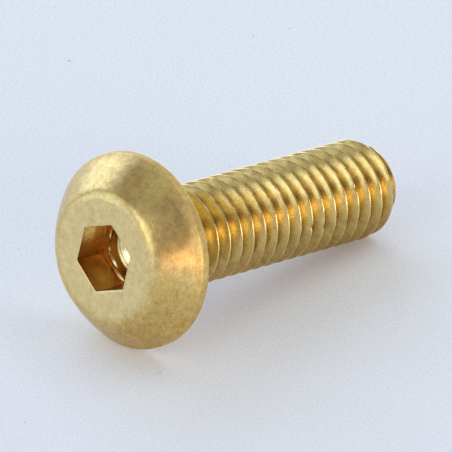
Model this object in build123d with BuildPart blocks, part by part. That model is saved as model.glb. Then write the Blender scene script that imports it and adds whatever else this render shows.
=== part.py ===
from build123d import *
from math import atan2, ceil, cos, floor, radians, sin, tan
import os

# Button head screw, M5 x 0.8, turned and threaded from one piece of brass, with a hexagon socket.
#
# The screw lies on its side, as it comes to rest on a level surface: on the rim of its head and on
# the last full crest of its thread, with its axis in the XZ plane and its point towards +X. The
# surface is z = 0, and the origin is on it, under the middle of the screw's length.

# ---- Driving dimensions, in millimetres and degrees ----------------------------------------------

length = 15.65  # from the bearing face to the point

head_diameter = 9.25
head_height = 2.23
crown_diameter = 6.08  # the head's flat top
rim_height = 0.46  # the upright band round the head, above the bearing face
flank_bulge = 0.065  # how far the head's flank swells beyond a straight cone
crown_chamfer = 0.15  # round the flat top
shoulder_chamfer = 0.11  # where the flank meets the rim
bearing_chamfer = 0.1  # round the bearing face

socket_width = 3.0  # across the flats
socket_depth = 1.75
socket_turn = 21.65  # how far the hexagon has come to lie turned about the axis
pilot_diameter = 2.7  # the hole that was drilled before the hexagon was broached
pilot_overrun = 0.5  # how much deeper than the hexagon it goes
drill_point_angle = 118

thread_diameter = 4.76  # over the crests
pitch = 0.8
thread_angle = 60
neck_length = 1.6  # the stretch under the head that the full groove stays clear of
neck_chamfer = 0.25  # where the shank runs into the bearing face
point_chamfer = 0.48  # how far it comes in towards the axis
point_chamfer_length = 0.85
last_crest_setback = 1.2  # from the point back to the last full crest, along the underside

cut_clearance = 0.05  # how far a cut reaches out past the metal that it removes

# ---- Sizes that follow from them -----------------------------------------------------------------

head_radius = head_diameter / 2
crown_radius = crown_diameter / 2
pilot_radius = pilot_diameter / 2
crest_radius = thread_diameter / 2
point_radius = crest_radius - point_chamfer

# The groove is a plain vee. It leaves an eighth of the pitch standing between its turns, as crest.
half_angle = radians(thread_angle / 2)
crest_width = pitch / 8
groove_width = pitch - crest_width
thread_depth = groove_width / 2 / tan(half_angle)
root_radius = crest_radius - thread_depth

# The full groove starts a whole number of turns before the last full crest, and runs on past the
# point.
last_crest = length - last_crest_setback
turns_to_last_crest = floor((last_crest - neck_length - groove_width / 2) / pitch)
groove_start = last_crest - turns_to_last_crest * pitch
full_turns = turns_to_last_crest + ceil(last_crest_setback / pitch + 0.5)

# ---- How the screw lies --------------------------------------------------------------------------

# The surface touches the outer edge of the head's rim and the last full crest, so the axis slopes
# by the angle of the line from one to the other.
contact_crest = last_crest + crest_width / 2
slope = atan2(head_radius - crest_radius, contact_crest + bearing_chamfer)
crown_end_x = -head_height * cos(slope) - (crown_radius - crown_chamfer) * sin(slope)
point_end_x = length * cos(slope) + point_radius * sin(slope)
seat_height = contact_crest * sin(slope) + crest_radius * cos(slope)

towards_point = Vector(cos(slope), 0, -sin(slope))
seat_centre = Vector(-(crown_end_x + point_end_x) / 2, 0, seat_height)
screw_axis = Axis(seat_centre, towards_point)


def on_axis(distance):
    """The point on the axis at this distance from the bearing face, towards the point."""
    return seat_centre + towards_point * distance


# Sections are drawn below the axis: x runs along it from the bearing face, y is the radius.
section_plane = Plane(origin=seat_centre, x_dir=towards_point, z_dir=(0, 1, 0))
crown_plane = Plane(origin=on_axis(-head_height), x_dir=(0, 1, 0), z_dir=-towards_point)

# ---- The thread's groove -------------------------------------------------------------------------


def groove_path(start, turns):
    """The line of the groove's bottom, turn by turn, from this distance along the axis."""
    with BuildLine() as path:
        for turn in range(turns):
            turn_start = on_axis(start + turn * pitch)
            Helix(pitch, pitch, root_radius, center=turn_start, direction=towards_point)
    return path.line


def groove_section(path, start, lift=0):
    """The vee at the start of its path, or lifted out from the axis."""
    outwards = (path @ 0 - on_axis(start)).normalized()
    plane = Plane(origin=path @ 0, x_dir=outwards, z_dir=outwards.cross(towards_point))
    height = thread_depth + cut_clearance
    top = height * tan(half_angle)
    with BuildSketch(plane) as section:
        with BuildLine():
            Polyline((lift, 0), (lift + height, -top), (lift + height, top), close=True)
        make_face()
    return section.sketch


full_path = groove_path(groove_start, full_turns)
full_section = groove_section(full_path, groove_start)

# The groove rises out of the shank over one turn towards the head.
run_out_start = groove_start - pitch
run_out_path = groove_path(run_out_start, 1)
run_out_section = groove_section(run_out_path, run_out_start, thread_depth + cut_clearance)

# ---- The screw -----------------------------------------------------------------------------------

with BuildPart() as button_head_screw:
    with BuildSketch(section_plane) as blank:
        with BuildLine():
            crown = Line((-head_height, 0), (-head_height, crown_radius))
            flank = SagittaArc(crown @ 1, (-rim_height, head_radius), -flank_bulge)
            Polyline(
                flank @ 1,
                (0, head_radius),
                (0, crest_radius),
                (length - point_chamfer_length, crest_radius),
                (length, point_radius),
                (length, 0),
                crown @ 0,
            )
        make_face()
        corners = blank.vertices()
        chamfer(corners.sort_by_distance(crown @ 1)[0], crown_chamfer)
        chamfer(corners.sort_by_distance(flank @ 1)[0], shoulder_chamfer)
        chamfer(corners.sort_by_distance((0, head_radius))[0], bearing_chamfer)
        chamfer(corners.sort_by_distance((0, crest_radius))[0], neck_chamfer)
    revolve(axis=screw_axis)

    sweep(full_section, path=full_path, is_frenet=True, mode=Mode.SUBTRACT)
    sweep(
        [run_out_section, full_section],
        path=run_out_path,
        multisection=True,
        is_frenet=True,
        mode=Mode.SUBTRACT,
    )

    with BuildSketch(section_plane):
        with BuildLine():
            pilot_floor = socket_depth + pilot_overrun - head_height
            pilot_tip = pilot_floor + pilot_radius / tan(radians(drill_point_angle / 2))
            Polyline(
                (-head_height, 0),
                (-head_height, pilot_radius),
                (pilot_floor, pilot_radius),
                (pilot_tip, 0),
                close=True,
            )
        make_face()
    revolve(axis=screw_axis, mode=Mode.SUBTRACT)

    with BuildSketch(crown_plane):
        RegularPolygon(socket_width / 2, 6, major_radius=False, rotation=socket_turn)
    extrude(amount=-socket_depth, mode=Mode.SUBTRACT)

button_head_screw.part.label = "button_head_screw"

os.makedirs("parts", exist_ok=True)
export_step(button_head_screw.part, "parts/button_head_screw.step")
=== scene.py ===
from math import atan2, cos, hypot, pi, radians, sin, tan

import bmesh
import bpy
import numpy as np
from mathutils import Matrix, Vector


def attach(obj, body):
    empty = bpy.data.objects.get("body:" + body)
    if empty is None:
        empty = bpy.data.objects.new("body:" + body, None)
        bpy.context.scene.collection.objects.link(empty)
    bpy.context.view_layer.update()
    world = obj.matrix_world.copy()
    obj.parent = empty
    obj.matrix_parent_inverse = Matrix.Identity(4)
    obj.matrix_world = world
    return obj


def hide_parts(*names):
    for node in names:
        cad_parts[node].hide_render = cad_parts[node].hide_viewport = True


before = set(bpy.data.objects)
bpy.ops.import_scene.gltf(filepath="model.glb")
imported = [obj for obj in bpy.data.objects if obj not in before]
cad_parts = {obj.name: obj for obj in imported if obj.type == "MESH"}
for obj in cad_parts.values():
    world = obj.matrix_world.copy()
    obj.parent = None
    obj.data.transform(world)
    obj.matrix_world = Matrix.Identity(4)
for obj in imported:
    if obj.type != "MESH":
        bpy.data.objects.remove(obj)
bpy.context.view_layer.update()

# The looks of a button head screw that lies on its side. One mesh, made of rings of points round the
# screw's axis, stands in for the CAD solid. It has the same sizes, and finer edges.

MM = 0.001
NODE = "button_head_screw"

# ---- Sizes in millimetres, as in the part's source -----------------------------------------------

LENGTH = 15.65  # from the bearing face to the point
HEAD_RADIUS = 4.625
HEAD_HEIGHT = 2.23
CROWN_RADIUS = 3.04  # the head's flat top
CROWN_CHAMFER = 0.15
RIM_HEIGHT = 0.46
FLANK_BULGE = 0.065
BEARING_CHAMFER = 0.1
SOCKET_APOTHEM = 1.5
SOCKET_DEPTH = 1.75
SOCKET_TURN = radians(38.35)  # where one of the hexagon's corners lies, from +Y towards up
PILOT_RADIUS = 1.35
PILOT_OVERRUN = 0.6  # a little deeper than in the source, as the photograph shows it
DRILL_HALF_ANGLE = radians(59)
CREST_RADIUS = 2.38
PITCH = 0.8
HALF_ANGLE = radians(30)
CREST_WIDTH = PITCH / 8
GROOVE_DEPTH = (PITCH - CREST_WIDTH) / 2 / tan(HALF_ANGLE)
LAST_CREST = 14.45
RUN_OUT_START = 1.65
POINT_TAPER = 0.48
POINT_LENGTH = 0.85

# ---- How the screw lies: its axis, and two directions square to it -------------------------------

contact_crest = LAST_CREST + CREST_WIDTH / 2
slope = atan2(HEAD_RADIUS - CREST_RADIUS, contact_crest + BEARING_CHAMFER)
crown_end_x = -HEAD_HEIGHT * cos(slope) - (CROWN_RADIUS - CROWN_CHAMFER) * sin(slope)
point_end_x = LENGTH * cos(slope) + (CREST_RADIUS - POINT_TAPER) * sin(slope)
seat_height = contact_crest * sin(slope) + CREST_RADIUS * cos(slope)
seat = np.array([-(crown_end_x + point_end_x) / 2, 0, seat_height])
along = np.array([cos(slope), 0, -sin(slope)])
across = np.array([0.0, 1.0, 0.0])
upwards = np.cross(along, across)


def place_of(distance, radius, angle):
    """The place at a distance along the axis from the bearing face, and a radius and angle round it."""
    aside = np.multiply.outer(radius * np.cos(angle), across)
    up = np.multiply.outer(radius * np.sin(angle), upwards)
    return seat + np.multiply.outer(distance, along) + aside + up


# ---- Rings ---------------------------------------------------------------------------------------

COLUMNS = 204  # points in a ring, 34 to each side of the hexagon
turn = SOCKET_TURN + 2 * pi * np.arange(COLUMNS) / COLUMNS
random = np.random.default_rng(5)
rings = []  # for each ring, the distance along the axis and the radius, column by column


def ring(distance, radius):
    """Adds a ring, whose distance and radius are each one number or one for every column."""
    rings.append((np.broadcast_to(distance, COLUMNS), np.broadcast_to(radius, COLUMNS)))


def fillet(before, corner, after, radius, steps):
    """Points along the arc that rounds the corner of a line through three points."""
    before, corner, after = np.array(before), np.array(corner), np.array(after)
    a = (before - corner) / np.linalg.norm(before - corner)
    b = (after - corner) / np.linalg.norm(after - corner)
    half = np.arccos(a @ b) / 2
    middle = corner + (a + b) / np.linalg.norm(a + b) * radius / sin(half)
    start = corner + a * radius / tan(half) - middle
    end = corner + b * radius / tan(half) - middle
    sweep = pi - 2 * half
    found = []
    for t in np.linspace(0, 1, steps + 1):
        spoke = (sin((1 - t) * sweep) * start + sin(t * sweep) * end) / sin(sweep)
        found.append(middle + spoke)
    return found


def flank_point(t):
    """A point on the head's flank, from the crown's corner at 0 to the rim's at 1."""
    run = np.array([HEAD_HEIGHT - RIM_HEIGHT, HEAD_RADIUS - CROWN_RADIUS])
    out = np.array([-run[1], run[0]]) / hypot(*run)
    corner = np.array([-HEAD_HEIGHT, CROWN_RADIUS])
    return corner + run * t + out * 4 * FLANK_BULGE * t * (1 - t)


def ragged(height, columns):
    """A seeded height from zero to this one, column by column, in bumps this many columns wide."""
    count = COLUMNS // columns + 1
    spots = random.random(count) ** 3 * height
    return np.interp(np.arange(COLUMNS) / columns, np.arange(count), spots, period=COLUMNS / columns)


# The drilled hole, from its pointed end outwards.
ledge = SOCKET_DEPTH - HEAD_HEIGHT
pilot_floor = ledge + PILOT_OVERRUN
drill_tip = pilot_floor + PILOT_RADIUS / tan(DRILL_HALF_ANGLE)
for share in (0.02, 0.1, 0.2, 0.3, 0.4, 0.5, 0.6, 0.7, 0.8, 0.9, 0.97):
    ring(drill_tip + (pilot_floor - drill_tip) * share, PILOT_RADIUS * share)
socket_start = len(rings) - 1
for share in (0.0, 0.2, 0.4, 0.6, 0.8):
    ring(pilot_floor - PILOT_OVERRUN * share, PILOT_RADIUS)

# The ledge at the hexagon's bottom. The broach has left a ragged lip round its inner edge, whose
# outline is given here as how far it reaches in and up, in shares of the lip's size.
LIP_SIZE = 0.09
LIP_OUTLINE = ((0.3, -0.05), (0.8, 0.02), (1.0, 0.35), (0.9, 0.75), (0.4, 0.7))
hexagon = SOCKET_APOTHEM / np.cos((turn - SOCKET_TURN) % (pi / 3) - pi / 6)
lip = ragged(LIP_SIZE, 5) + 0.5 * ragged(LIP_SIZE, 1)
for reach, lift in LIP_OUTLINE:
    ring(ledge - lift * lip, PILOT_RADIUS - reach * lip)
ring(ledge - 0.15 * lip, (PILOT_RADIUS + hexagon) / 2)
ring(ledge, hexagon - 0.02)

# The hexagon's sides, and its mouth, which is worn more in some places than in others. The mouth's
# outline is given as how far below the crown and how far outside the hexagon it lies.
MOUTH_OUTLINE = ((0.035, 0.0), (0.02, 0.006), (0.008, 0.018), (0.0, 0.04))
MOUTH_WEAR = 0.64  # how much more it may be worn, in shares of its outline's size
for share in (0.03, 0.1, 0.25, 0.4, 0.55, 0.7, 0.85, 0.93):
    ring(ledge - SOCKET_DEPTH * share, hexagon)
wear = 1 + ragged(MOUTH_WEAR, 2)
for drop, spread in MOUTH_OUTLINE:
    ring(drop * wear - HEAD_HEIGHT, hexagon + spread * wear)
head_start = len(rings) - 3
mouth_edge = rings[-1][1]

# The head: crown, flank, rim and bearing face.
CROWN_ROUNDING = 0.85
SHOULDER_ROUNDING = 0.18
NECK_ROUNDING = 0.25
rim_edge = (0, HEAD_RADIUS)
neck_edge = (0, CREST_RADIUS)
face_point = (0, 3)  # on the bearing face
crown_edge = fillet((-HEAD_HEIGHT, 0), flank_point(0), flank_point(0.2), CROWN_ROUNDING, 12)
for share in (0.12, 0.25, 0.4, 0.55, 0.7, 0.85, 0.95):
    ring(-HEAD_HEIGHT, mouth_edge * (1 - share) + crown_edge[0][1] * share)
for point in crown_edge:
    ring(*point)
for t in np.linspace(0.17, 0.9, 18):
    ring(*flank_point(t))
for point in fillet(flank_point(0.9), flank_point(1), rim_edge, SHOULDER_ROUNDING, 8):
    ring(*point)
for distance in (-0.3, -0.2):
    ring(distance, HEAD_RADIUS)
for point in fillet((-0.3, HEAD_RADIUS), rim_edge, face_point, BEARING_CHAMFER, 5):
    ring(*point)
for radius in (4.2, 3.8, 3.4, 3.0, 2.8):
    ring(0, radius)
for point in fillet(face_point, neck_edge, (1, CREST_RADIUS), NECK_ROUNDING, 6):
    ring(*point)
shank_start = len(rings)
for distance in (0.5, 0.8):
    ring(distance, CREST_RADIUS)

# The thread. Its rows follow the helix, so that each keeps its place on the thread's profile.
NECK_END = 1.1  # no row of the thread starts nearer to the head
PROFILE = (-0.38, -0.35, -0.29, -0.22, -0.15, -0.1, -0.07, -0.05, -0.03)
offsets = (*PROFILE, 0, *(-p for p in reversed(PROFILE)), PITCH / 2)  # a turn's rows, from its crest
CREST_FLAT = 0.025  # half the width of the flat on the crests
CREST_ROUNDING = 0.012
ROOT_FILL = 0.03  # how much shallower the groove is than the source's sharp vee
ROOT_ROUNDING = 0.02
POINT_ROUNDING = 0.006
END_LENGTH = 0.12  # how far the rounded edge of the flat end reaches along the axis,
END_DEPTH = 0.1  # and how far inwards

# The crests' unevenness: the number of waves in each turn, with how far they shift from one turn to
# the next.
WAVES = ((5, 2.1), (9, 5.3), (14, 1.7), (23, 3.9))
WAVE_HEIGHT = 0.0035
WAVE_REACH = 0.1  # how far from the middle of a crest they are felt

# Small nicks in the crests: distance along the axis, angle in degrees, and depth.
NICKS = (
    (11.03, -160.6, 0.09),
    (11.78, -168.8, 0.07),
    (10.32, -175.1, 0.07),
    (9.46, -178.2, 0.08),
    (7.2, 80, 0.06),
    (12.6, 150, 0.05),
    (5.4, 20, 0.07),
    (8.7, -60, 0.06),
    (13.5, -10, 0.06),
)
NICK_WIDTH = 0.11  # round the axis
NICK_LENGTH = 0.09  # along it


def soften(value, limit, width):
    """The smaller of two numbers, with a rounded change from one to the other."""
    return (value + limit) / 2 - np.sqrt(((value - limit) / 2) ** 2 + width**2)


def point_radius(distance):
    """The radius over the crests, which falls away in a rounded taper at the screw's point."""
    taper = np.clip((distance - LENGTH + POINT_LENGTH) / POINT_LENGTH, 0, 1)
    corner = np.clip((distance - LENGTH + END_LENGTH) / END_LENGTH, 0, 1)
    in_taper = 0.85 * POINT_TAPER * taper**1.25
    in_corner = END_DEPTH * (1 - np.sqrt(1 - corner**2))
    return CREST_RADIUS - in_taper - in_corner


def nick_depth(distance, angle):
    """How deep the nicks are at a distance along the axis and an angle round it."""
    total = 0
    for nick_distance, nick_angle, depth in NICKS:
        off_angle = (angle - radians(nick_angle) + pi) % (2 * pi) - pi
        off_round = off_angle * CREST_RADIUS / NICK_WIDTH
        off_along = (distance - nick_distance) / NICK_LENGTH
        total = total + depth * np.exp(-(off_round**2 + off_along**2))
    return total


def thread_radius(distance, angle):
    """The surface's radius at a distance along the axis and an angle round it."""
    place = (distance - LAST_CREST) / PITCH - (angle + pi / 2) / (2 * pi)
    off_crest = np.abs(place - np.round(place)) * PITCH
    groove = distance + (0.5 - (place - np.floor(place))) * PITCH
    share = np.clip((groove - RUN_OUT_START) / PITCH, 0, 1)  # of its depth that the groove has here
    depth = (off_crest - CREST_FLAT) / tan(HALF_ANGLE) - (1 - share) * GROOVE_DEPTH
    depth = -soften(-depth, 0, CREST_ROUNDING)
    depth = soften(depth, GROOVE_DEPTH - ROOT_FILL, ROOT_ROUNDING)
    wobble = sum(np.sin(waves * angle + place * shift) for waves, shift in WAVES)
    depth = depth + WAVE_HEIGHT * (1 + wobble) * (off_crest < WAVE_REACH)
    depth = depth + nick_depth(distance, angle)
    return soften(CREST_RADIUS - depth, point_radius(distance), POINT_ROUNDING)


thread_start = len(rings)
first_turn = int(np.floor((NECK_END - LAST_CREST) / PITCH)) - 1
last_turn = int(np.ceil((LENGTH - LAST_CREST) / PITCH)) + 1
for count in range(first_turn, last_turn + 1):
    for offset in offsets:
        distance = LAST_CREST + (count + (turn + pi / 2) / (2 * pi)) * PITCH + offset
        distance = np.clip(distance, NECK_END, LENGTH)
        ring(distance, thread_radius(distance, turn))
thread_end = len(rings) - 1
for share in (0.97, 0.9, 0.75, 0.5, 0.25, 0.08):
    ring(LENGTH, share * rings[thread_end][1])

# ---- The mesh's points and faces, each face in the zone of one finish ----------------------------

DRILLED, SOCKET, HEAD, SHANK = range(4)


def zone_of(row):
    """The zone of the faces between this ring and the next."""
    if row < socket_start:
        return DRILLED
    if row < head_start:
        return SOCKET
    return HEAD if row < shank_start else SHANK


distances, radii = (np.array(part) for part in zip(*rings))
points = place_of(distances, radii, turn).reshape(-1, 3).tolist()
number = np.arange(len(points)).reshape(len(rings), COLUMNS).tolist()
faces, zones = [], []
for row in range(len(rings) - 1):
    # Going once round the thread leads to the row that is one turn further on.
    on_thread = thread_start <= row < thread_end
    next_row = min(row + len(offsets), thread_end - 1) if on_thread else row
    low = [*number[row], number[next_row][0]]
    high = [*number[row + 1], number[next_row + 1][0]]
    faces += zip(low, high, high[1:], low[1:])
    zones += [zone_of(row)] * COLUMNS
for distance, row, zone in ((drill_tip, 0, DRILLED), (LENGTH, -1, SHANK)):
    edge = [*number[row], number[row][0]]
    faces += zip([len(points)] * COLUMNS, edge, edge[1:])
    zones += [zone] * COLUMNS
    points.append(place_of(distance, 0, 0))

# Chips that the broach has left curled up on the ledge. Each is a thin strip through places given
# as a radius, an angle in degrees and a height over the ledge, with its greatest width.
CHIPS = (
    (((1.42, -16, -0.02), (1.03, -40, 0.18), (1.10, -66, 0.14)), 0.11),
    (((1.42, -46, -0.02), (1.27, -70, 0.18), (1.42, -92, 0.20)), 0.14),
    (((1.42, 2, -0.02), (1.02, 22, 0.24), (0.92, 44, 0.40)), 0.07),
    (((1.42, 34, -0.02), (1.17, 20, 0.18), (1.16, 8, 0.06)), 0.06),
    (((1.42, 0, -0.02), (1.14, -13, 0.14), (1.42, -27, -0.02)), 0.05),
    (((1.42, 44, -0.02), (1.12, 60, 0.16), (1.42, 78, -0.02)), 0.06),
    (((1.42, 146, -0.02), (1.12, 162, 0.14), (1.42, 178, -0.02)), 0.06),
)
CHIP_THICKNESS = 0.02
CHIP_STEPS = 12
CHIP_TILT = 0.6  # how far a strip's outer edge lies above its middle, in shares of its half width


def chip_points(knots, width):
    """A strip's points: for each step along it, its inner edge, top, outer edge and bottom."""
    found = []
    for step in range(CHIP_STEPS + 1):
        t = step / CHIP_STEPS
        weights = np.array([(1 - t) * (1 - 2 * t), 4 * t * (1 - t), t * (2 * t - 1)])
        radius, angle, lift = weights @ np.array(knots)
        half = width / 2 * (0.15 + 0.85 * abs(sin(pi * t)) ** 0.7)
        for edge, face in ((-1, 0), (0, 1), (1, 0), (0, -1)):
            distance = ledge - lift - face * CHIP_THICKNESS / 2 - CHIP_TILT * edge * half
            found.append(place_of(distance, radius + edge * half, radians(angle)))
    return found


def chip_faces(first):
    """A strip's faces, when its first point has this number."""
    last = first + 4 * CHIP_STEPS
    found = []
    for start in range(first, last, 4):
        for side in range(4):
            low, high = start + side, start + (side + 1) % 4
            found.append((low, high, high + 4, low + 4))
    found.append((first, first + 3, first + 2, first + 1))
    found.append((last, last + 1, last + 2, last + 3))
    return found


for knots, width in CHIPS:
    strip = chip_faces(len(points))
    faces += strip
    zones += [HEAD] * len(strip)
    points += chip_points(knots, width)

# ---- The screw -----------------------------------------------------------------------------------

SAME_PLACE = 0.0005 * MM  # points nearer to each other than this are one
SHARP_ANGLE = radians(38)


def placed(name, data):
    """A new object in the scene."""
    made = bpy.data.objects.new(name, data)
    bpy.context.scene.collection.objects.link(made)
    return made


mesh = bpy.data.meshes.new("brass_screw")
mesh.from_pydata((np.array(points) * MM).tolist(), [], faces)
mesh.polygons.foreach_set("material_index", zones)
built = bmesh.new()
built.from_mesh(mesh)
bmesh.ops.remove_doubles(built, verts=built.verts, dist=SAME_PLACE)
bmesh.ops.dissolve_degenerate(built, edges=built.edges, dist=SAME_PLACE)
bmesh.ops.recalc_face_normals(built, faces=built.faces)
for face in built.faces:
    face.smooth = True
built.to_mesh(mesh)
built.free()
mesh.set_sharp_from_angle(angle=SHARP_ANGLE)
screw = placed("brass_screw", mesh)
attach(screw, "root")
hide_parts(NODE)

# ---- Materials -----------------------------------------------------------------------------------


class Nodes:
    """A short way to write the nodes of a material or a world."""

    def __init__(self, tree):
        self.tree = tree

    def add(self, kind, inputs, **settings):
        """A node, whose inputs are each linked to another node or set to a plain value."""
        node = self.tree.nodes.new(kind)
        for name, value in settings.items():
            setattr(node, name, value)
        for key, value in inputs.items():
            if isinstance(value, bpy.types.NodeSocket):
                self.tree.links.new(value, node.inputs[key])
            else:
                node.inputs[key].default_value = value
        return node

    def coordinate(self, name):
        return self.add("ShaderNodeTexCoord", {}).outputs[name]

    def split(self, place):
        return self.add("ShaderNodeSeparateXYZ", {0: place}).outputs

    def join(self, x, y, z):
        return self.add("ShaderNodeCombineXYZ", {0: x, 1: y, 2: z}).outputs[0]

    def math(self, operation, a, b=0.0, c=0.0):
        return self.add("ShaderNodeMath", {0: a, 1: b, 2: c}, operation=operation).outputs[0]

    def total(self, first, *others):
        for other in others:
            first = self.math("ADD", first, other)
        return first

    def product(self, first, *others):
        for other in others:
            first = self.math("MULTIPLY", first, other)
        return first

    def largest(self, first, *others):
        for other in others:
            first = self.math("MAXIMUM", first, other)
        return first

    def weigh(self, *pairs):
        """The sum of some values, each times its weight."""
        weighed = 0.0
        for value, weight in pairs:
            weighed = self.math("MULTIPLY_ADD", value, weight, weighed)
        return weighed

    def length(self, x, y):
        """How far a point (x, y) is from (0, 0)."""
        return self.math("SQRT", self.total(self.math("POWER", x, 2.0), self.math("POWER", y, 2.0)))

    def noise(self, place, scale, detail, rough):
        inputs = {"Vector": place, "Scale": scale, "Detail": detail, "Roughness": rough}
        return self.add("ShaderNodeTexNoise", inputs).outputs["Fac"]

    def ramp(self, value, low, high, to_low=0.0, to_high=1.0):
        """Goes evenly from to_low, where the value is low or below, to to_high, where it is high."""
        inputs = {"Value": value, 1: low, 2: high, 3: to_low, 4: to_high}
        return self.add("ShaderNodeMapRange", inputs).outputs[0]

    def mix(self, share, a, b):
        """A colour that is a where the share is 0, and b where it is 1."""
        return self.add("ShaderNodeMix", {0: share, 6: a, 7: b}, data_type="RGBA").outputs[2]


def material(name):
    made = bpy.data.materials.new(name)
    made.use_nodes = True
    return made, Nodes(made.node_tree), made.node_tree.nodes["Principled BSDF"]


PALE_BRASS = (0.86, 0.655, 0.265, 1)
DEEP_BRASS = (0.82, 0.59, 0.20, 1)
GOLD_BRASS = (0.75, 0.57, 0.215, 1)
DEEP_GOLD = (0.71, 0.515, 0.175, 1)
# The next colour is metal rubbed bright, and in the socket a painted lit patch.
WORN_AND_LIT_BRASS = (0.93, 0.83, 0.55, 1)
# The next three are the colours of real dirt and marks, and of painted shade.
DARK_BRASS = (0.42, 0.27, 0.08, 1)
GROOVE_BROWN = (0.30, 0.18, 0.05, 1)
SOCKET_BROWN = (0.45, 0.22, 0.055, 1)
# The socket's deep orange and brown tones are painted light: they stand for light bounced many times
# inside it.
ORANGE_BRASS = (0.78, 0.455, 0.125, 1)
BROWN_BRASS = (0.67, 0.355, 0.10, 1)
# BRIGHT_BRASS is paler than the other brass: a painted highlight on the drilled floor.
BRIGHT_BRASS = (0.90, 0.77, 0.40, 1)

# Below, a place on the screw is in millimetres from the middle of the bearing face. It is also given
# as the distance along the axis and the radius and angle round it. A noise's scale is in spots per
# millimetre. Each relief gives four values: the height in millimetres, and the shares of the rougher
# of two roughnesses, of darkening, and of paler metal. The darkening is partly real dirt and marks
# and partly painted shade. The paler metal is rubbed bright on the crown and crests, and is a painted
# lit patch in the socket.


def brass(name, pale, deep, dark, roughnesses, relief):
    """Brass whose colour drifts between two tones, and goes dark or bright where its relief says."""
    made, nodes, shader = material(name)
    lie = {"Location": tuple(seat * MM), "Rotation": (0, slope, 0), "Scale": (MM, MM, MM)}
    inputs = {"Vector": nodes.coordinate("Object"), **lie}
    place = nodes.add("ShaderNodeMapping", inputs, vector_type="TEXTURE").outputs[0]
    distance, aside, up = nodes.split(place)
    radius = nodes.length(aside, up)
    angle = nodes.math("ARCTAN2", up, aside)
    height, rougher, dirt_and_shade, shine = relief(nodes, place, distance, radius, angle)
    drift = nodes.ramp(nodes.noise(place, scale=0.7, detail=3.0, rough=0.6), 0.35, 0.65)
    colour = nodes.mix(drift, pale, deep)
    colour = nodes.mix(nodes.math("MINIMUM", dirt_and_shade, 1.0), colour, dark)
    colour = nodes.mix(shine, colour, WORN_AND_LIT_BRASS)
    roughness = nodes.ramp(rougher, 0.0, 1.0, *roughnesses)
    bump = nodes.add("ShaderNodeBump", {"Height": height, "Strength": 1.0, "Distance": MM})
    shader.inputs["Metallic"].default_value = 1.0
    nodes.tree.links.new(colour, shader.inputs["Base Color"])
    nodes.tree.links.new(roughness, shader.inputs["Roughness"])
    nodes.tree.links.new(bump.outputs[0], shader.inputs["Normal"])
    return made


def underside(nodes, radius, angle, most):
    """A share of painted shade that grows towards the underside, a little on the side of -Y, and
    outwards.
    """
    height = nodes.math("SINE", nodes.total(angle, 0.45))
    return nodes.product(nodes.ramp(height, -0.4, -0.85, 0.0, most), nodes.ramp(radius, 0.7, 1.7))


def head_relief(nodes, place, distance, radius, angle):
    """Tumbled skin over faint turning rings."""
    grain = nodes.noise(place, scale=8.0, detail=2.0, rough=0.5)
    pits = nodes.noise(place, scale=22.0, detail=2.0, rough=0.5)
    outwards = nodes.total(radius, nodes.product(distance, 1.3))
    rings_place = nodes.join(outwards, 0.0, nodes.product(angle, 0.25))
    turned = nodes.noise(rings_place, scale=11.0, detail=2.0, rough=0.7)
    height = nodes.weigh((grain, 0.007), (pits, 0.0015), (turned, 0.009))

    blotches = nodes.noise(place, scale=2.6, detail=5.0, rough=0.7)
    blotches = nodes.ramp(blotches, 0.40, 0.72, 0.0, 0.5)
    specks = nodes.noise(place, scale=6.0, detail=2.0, rough=0.6)
    specks = nodes.ramp(specks, 0.67, 0.73, 0.0, 0.7)
    mottle = nodes.noise(place, scale=9.0, detail=3.0, rough=0.6)
    mottle = nodes.ramp(mottle, 0.38, 0.68, 0.0, 0.26)
    smears_place = nodes.join(radius, nodes.product(distance, 1.3), nodes.product(angle, 2.0))
    smears = nodes.noise(smears_place, scale=5.0, detail=3.0, rough=0.6)
    smears = nodes.ramp(smears, 0.5, 0.7, 0.0, 0.22)
    # Painted shade on the flank's underside, away from the crown.
    off_crown = nodes.ramp(radius, CROWN_RADIUS, CROWN_RADIUS + 0.5)
    painted_underside_shade = nodes.product(underside(nodes, radius, angle, 0.2), off_crown)
    dirt_and_shade = nodes.total(nodes.largest(blotches, specks), painted_underside_shade, mottle, smears)

    # The rim has been knocked dull, and the crown has been rubbed bright.
    dull = nodes.ramp(radius, HEAD_RADIUS - 0.3, HEAD_RADIUS - 0.1, 0.0, 0.5)
    rubbed = nodes.ramp(radius, CROWN_RADIUS - 0.3, CROWN_RADIUS + 0.1, 0.25, 0.0)
    return height, nodes.math("MULTIPLY_ADD", grain, 0.4, dull), dirt_and_shade, rubbed


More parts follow.
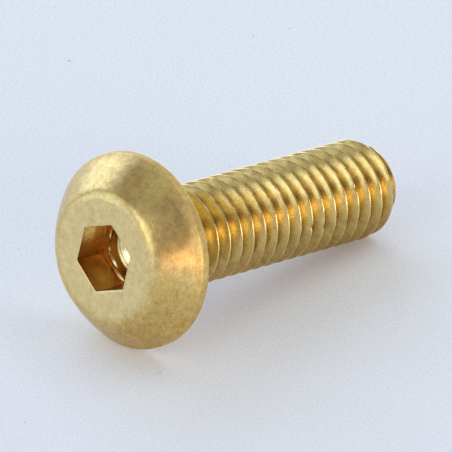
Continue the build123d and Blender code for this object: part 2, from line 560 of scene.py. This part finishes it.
def socket_relief(nodes, place, distance, radius, angle):
    """Broaching scratches along the hexagon's sides, with painted shade and a painted lit patch."""
    drop = nodes.total(distance, HEAD_HEIGHT)  # below the crown
    scratches_place = nodes.join(nodes.product(distance, 0.35), nodes.product(angle, 9.0), radius)
    scratches = nodes.noise(scratches_place, scale=3.0, detail=4.0, rough=0.7)
    height = nodes.product(scratches, 0.018)

    streaks = nodes.ramp(scratches, 0.42, 0.66, 0.0, 0.3)
    blotches = nodes.noise(place, scale=2.0, detail=4.0, rough=0.6)
    blotches = nodes.ramp(blotches, 0.40, 0.7, 0.0, 0.3)
    # Painted shade that grows deeper in the socket. The blotches and streaks are real dirt and marks.
    deeper = nodes.ramp(drop, 0.2, 1.3, 0.0, 0.2)
    # Painted shade by the mouth of the side below the painted lit patch, and in the corner between the
    # two.
    painted_wall_shade = nodes.product(nodes.ramp(drop, 0.3, 0.9, 0.65, 0.0), nodes.ramp(angle, -0.3, -0.5))
    off_corner = nodes.math("ABSOLUTE", nodes.total(angle, 0.62))
    in_corner = nodes.ramp(off_corner, 0.0, 0.45, 0.6, 0.0)
    dirt_and_shade = nodes.total(blotches, streaks, nodes.largest(deeper, painted_wall_shade, in_corner))

    # A painted lit patch by the mouth, where that wall catches the light.
    painted_lit_patch = nodes.product(
        nodes.ramp(drop, 0.8, 0.85, 1.0, 0.0),
        nodes.ramp(angle, 0.1, 0.45),
        nodes.ramp(radius, PILOT_RADIUS + 0.1, PILOT_RADIUS + 0.14, 0.0, 0.95),
        nodes.ramp(scratches, 0.4, 0.65, 1.0, 0.5),
    )
    return height, scratches, dirt_and_shade, painted_lit_patch


def drilled_relief(nodes, place, distance, radius, angle):
    """The drill's rings."""
    rings_place = nodes.join(radius, nodes.product(angle, 0.08), 0.0)
    turned = nodes.noise(rings_place, scale=9.0, detail=2.0, rough=0.6)
    dirt_and_shade = nodes.ramp(turned, 0.46, 0.6, 0.0, 0.7)
    return nodes.product(turned, 0.02), turned, dirt_and_shade, 0.0


def thread_relief(nodes, place, distance, radius, angle):
    """Marks that run along the helix, and painted shade in the grooves and on the underside."""
    off_helix = nodes.math("MULTIPLY_ADD", angle, -PITCH / (2 * pi), distance)
    marks_place = nodes.join(off_helix, nodes.product(angle, 0.6), radius)
    marks = nodes.noise(marks_place, scale=10.0, detail=3.0, rough=0.6)
    grain = nodes.noise(place, scale=7.0, detail=3.0, rough=0.6)
    height = nodes.weigh((marks, 0.003), (grain, 0.003))

    # Painted shade: darker towards the groove roots, where the grooves lie in shade. The spots are
    # dirt.
    uneven = nodes.noise(place, scale=1.7, detail=3.0, rough=0.6)
    uneven = nodes.ramp(uneven, 0.3, 0.7, -0.05, 0.05)
    depth = nodes.math("SUBTRACT", CREST_RADIUS, nodes.total(radius, uneven))
    deep = nodes.ramp(depth, 0.32, 0.43, 0.0, 0.58)
    spots = nodes.noise(place, scale=2.5, detail=4.0, rough=0.6)
    spots = nodes.ramp(spots, 0.45, 0.7, 0.0, 0.34)
    dirt_and_shade = nodes.total(nodes.largest(deep, spots), underside(nodes, radius, angle, 0.36))

    # The crests are worn bright, once the thread has risen out of the neck.
    worn = nodes.ramp(nodes.math("SUBTRACT", CREST_RADIUS, radius), 0.005, 0.035, 0.5, 0.0)
    risen = nodes.ramp(distance, RUN_OUT_START + 0.35, RUN_OUT_START + 0.8)
    return height, grain, dirt_and_shade, nodes.product(worn, risen)


# The finishes, in the order of their zones.
for finish in (
    ("brass_drilled", BRIGHT_BRASS, BRIGHT_BRASS, DARK_BRASS, (0.16, 0.3), drilled_relief),
    ("brass_socket", ORANGE_BRASS, BROWN_BRASS, SOCKET_BROWN, (0.12, 0.26), socket_relief),
    ("brass_head", PALE_BRASS, DEEP_BRASS, DARK_BRASS, (0.24, 0.6), head_relief),
    ("brass_thread", GOLD_BRASS, DEEP_GOLD, GROOVE_BROWN, (0.22, 0.34), thread_relief),
):
    mesh.materials.append(brass(*finish))

# ---- Floor ---------------------------------------------------------------------------------------

# A wide disc of pale paper that turns up at its edge. Its sizes are in metres, and COVE has the reach
# and the height of each of its rings.
COVE = ((0.3, 0), (1.2, 0), (2.2, 0), (2.35, 0.02), (2.45, 0.07), (2.5, 0.16), (2.5, 0.3))
SPOKES = 96
PAPER = (0.88, 0.94, 0.99, 1)
PAPER_SHADE = (0.70, 0.77, 0.83, 1)
SPECK = (0.25, 0.25, 0.27, 1)
NEAR_GLOW = (0.12, 0.098, 0.09, 1)
FAR_GLOW = (0.52, 0.58, 0.66, 1)
GLOW_REACH = (1.2, 2.3)  # where the near glow starts to change, and where the far one is reached

floor_points, floor_faces = [(0, 0, 0)], []
for row, (reach, height) in enumerate(COVE):
    for spoke in range(SPOKES):
        angle = 2 * pi * spoke / SPOKES
        floor_points.append((reach * cos(angle), reach * sin(angle), height))
        here, beside = (1 + row * SPOKES + s % SPOKES for s in (spoke, spoke + 1))
        inner = (beside - SPOKES, here - SPOKES) if row else (0,)
        floor_faces.append((*inner, here, beside))
floor_mesh = bpy.data.meshes.new("floor")
floor_mesh.from_pydata(floor_points, [], floor_faces)
floor_mesh.shade_smooth()
floor = placed("floor", floor_mesh)

paper, nodes, shader = material("pale_paper")
place = nodes.coordinate("Object")
fibre = nodes.noise(place, scale=7000.0, detail=3.0, rough=0.7)
tone = nodes.mix(nodes.ramp(fibre, 0.3, 0.7), PAPER_SHADE, PAPER)
specks = nodes.noise(place, scale=1700.0, detail=1.0, rough=0.5)
tone = nodes.mix(nodes.ramp(specks, 0.785, 0.795, 0.0, 0.45), tone, SPECK)
parts = nodes.split(place)
reach = nodes.length(parts["X"], parts["Y"])
glow = nodes.mix(nodes.ramp(reach, *GLOW_REACH), NEAR_GLOW, FAR_GLOW)
rays = nodes.add("ShaderNodeLightPath", {}).outputs
seen = nodes.largest(rays["Is Camera Ray"], rays["Is Glossy Ray"], rays["Is Transmission Ray"])
shader.inputs["Roughness"].default_value = 0.7
nodes.tree.links.new(tone, shader.inputs["Base Color"])
nodes.tree.links.new(glow, shader.inputs["Emission Color"])
nodes.tree.links.new(seen, shader.inputs["Emission Strength"])
floor_mesh.materials.append(paper)

# ---- Light ---------------------------------------------------------------------------------------

LAMP_DISTANCE = 1.2  # metres from the screw to each lamp


def lamp(name, azimuth, elevation, width, height, radiance, colour):
    """A soft rectangular lamp. Azimuth 0 is towards +Y and 90 towards +X; its sides are angles."""
    a, e = radians(azimuth), radians(elevation)
    towards = Vector((sin(a) * cos(e), cos(a) * cos(e), sin(e)))
    light = bpy.data.lights.new(name, "AREA")
    light.shape = "RECTANGLE"
    light.size = 2 * LAMP_DISTANCE * tan(radians(width / 2))
    light.size_y = 2 * LAMP_DISTANCE * tan(radians(height / 2))
    light.energy = radiance * pi * light.size * light.size_y
    light.color = colour
    held = placed(name, light)
    held.location = towards * LAMP_DISTANCE
    held.rotation_mode = "QUATERNION"
    held.rotation_quaternion = towards.to_track_quat("Z", "Y")
    held.visible_camera = False


lamp("window", 16, 27, 58, 38, 2.3, (0.56, 0.71, 1.00))
lamp("back_wall", -47, 16, 28, 40, 1.3, (0.66, 0.86, 1.00))
lamp("side_window", -95, 27, 34, 36, 2.1, (0.74, 0.88, 1.00))
lamp("right_wall", 80, 12, 46, 20, 1.9, (0.80, 1.00, 0.85))
lamp("warm_lamp", 177, 11, 34, 25, 3.7, (1.00, 0.93, 0.80))
lamp("orange_card", -153, 7, 12, 8, 8.5, (1.00, 0.56, 0.34))
lamp("high_lamp", 120, 60, 40, 16, 2.0, (0.94, 1.00, 1.00))
lamp("ceiling", -15, 85, 40, 26, 0.5, (0.62, 1.00, 0.80))

# The room's own light, and a pale band just over the horizon, where the floor ends.
ROOM = (0.31, 0.268, 0.285, 1)
HORIZON = (0.74, 0.80, 0.91, 1)
world = bpy.data.worlds.new("room")
world.use_nodes = True
bpy.context.scene.world = world
nodes = Nodes(world.node_tree)
rise = nodes.split(nodes.coordinate("Generated"))["Z"]
colour = nodes.mix(nodes.ramp(rise, 0.025, 0.07), HORIZON, ROOM)
nodes.tree.links.new(colour, world.node_tree.nodes["Background"].inputs["Color"])

# ---- Camera --------------------------------------------------------------------------------------

IMAGE_SIZE = 452  # pixels, across and down
LENS_PIXELS = 11475
SENSOR_WIDTH = 36
AZIMUTH, ELEVATION = radians(-46.4), radians(26.95)
CAMERA_DISTANCE = 533.4 * MM
AIM_HEIGHT = 3.6 * MM  # the camera looks at a point this far over the origin,
AIM_RIGHT = -0.405 * MM  # then this far to the right in the picture,
AIM_UP = -0.233 * MM  # and this far up

back = Vector((sin(AZIMUTH) * cos(ELEVATION), -cos(AZIMUTH) * cos(ELEVATION), sin(ELEVATION)))
right = Vector((cos(AZIMUTH), sin(AZIMUTH), 0))
target = Vector((0, 0, AIM_HEIGHT)) + right * AIM_RIGHT + back.cross(right) * AIM_UP
lens = bpy.data.cameras.new("camera")
lens.sensor_width = SENSOR_WIDTH
lens.lens = LENS_PIXELS / IMAGE_SIZE * SENSOR_WIDTH
lens.clip_start = 0.01
lens.clip_end = 10
camera = placed("camera", lens)
camera.location = target + back * CAMERA_DISTANCE
camera.rotation_mode = "QUATERNION"
camera.rotation_quaternion = back.to_track_quat("Z", "Y")
bpy.context.scene.camera = camera
bpy.context.scene.view_settings.view_transform = "Standard"
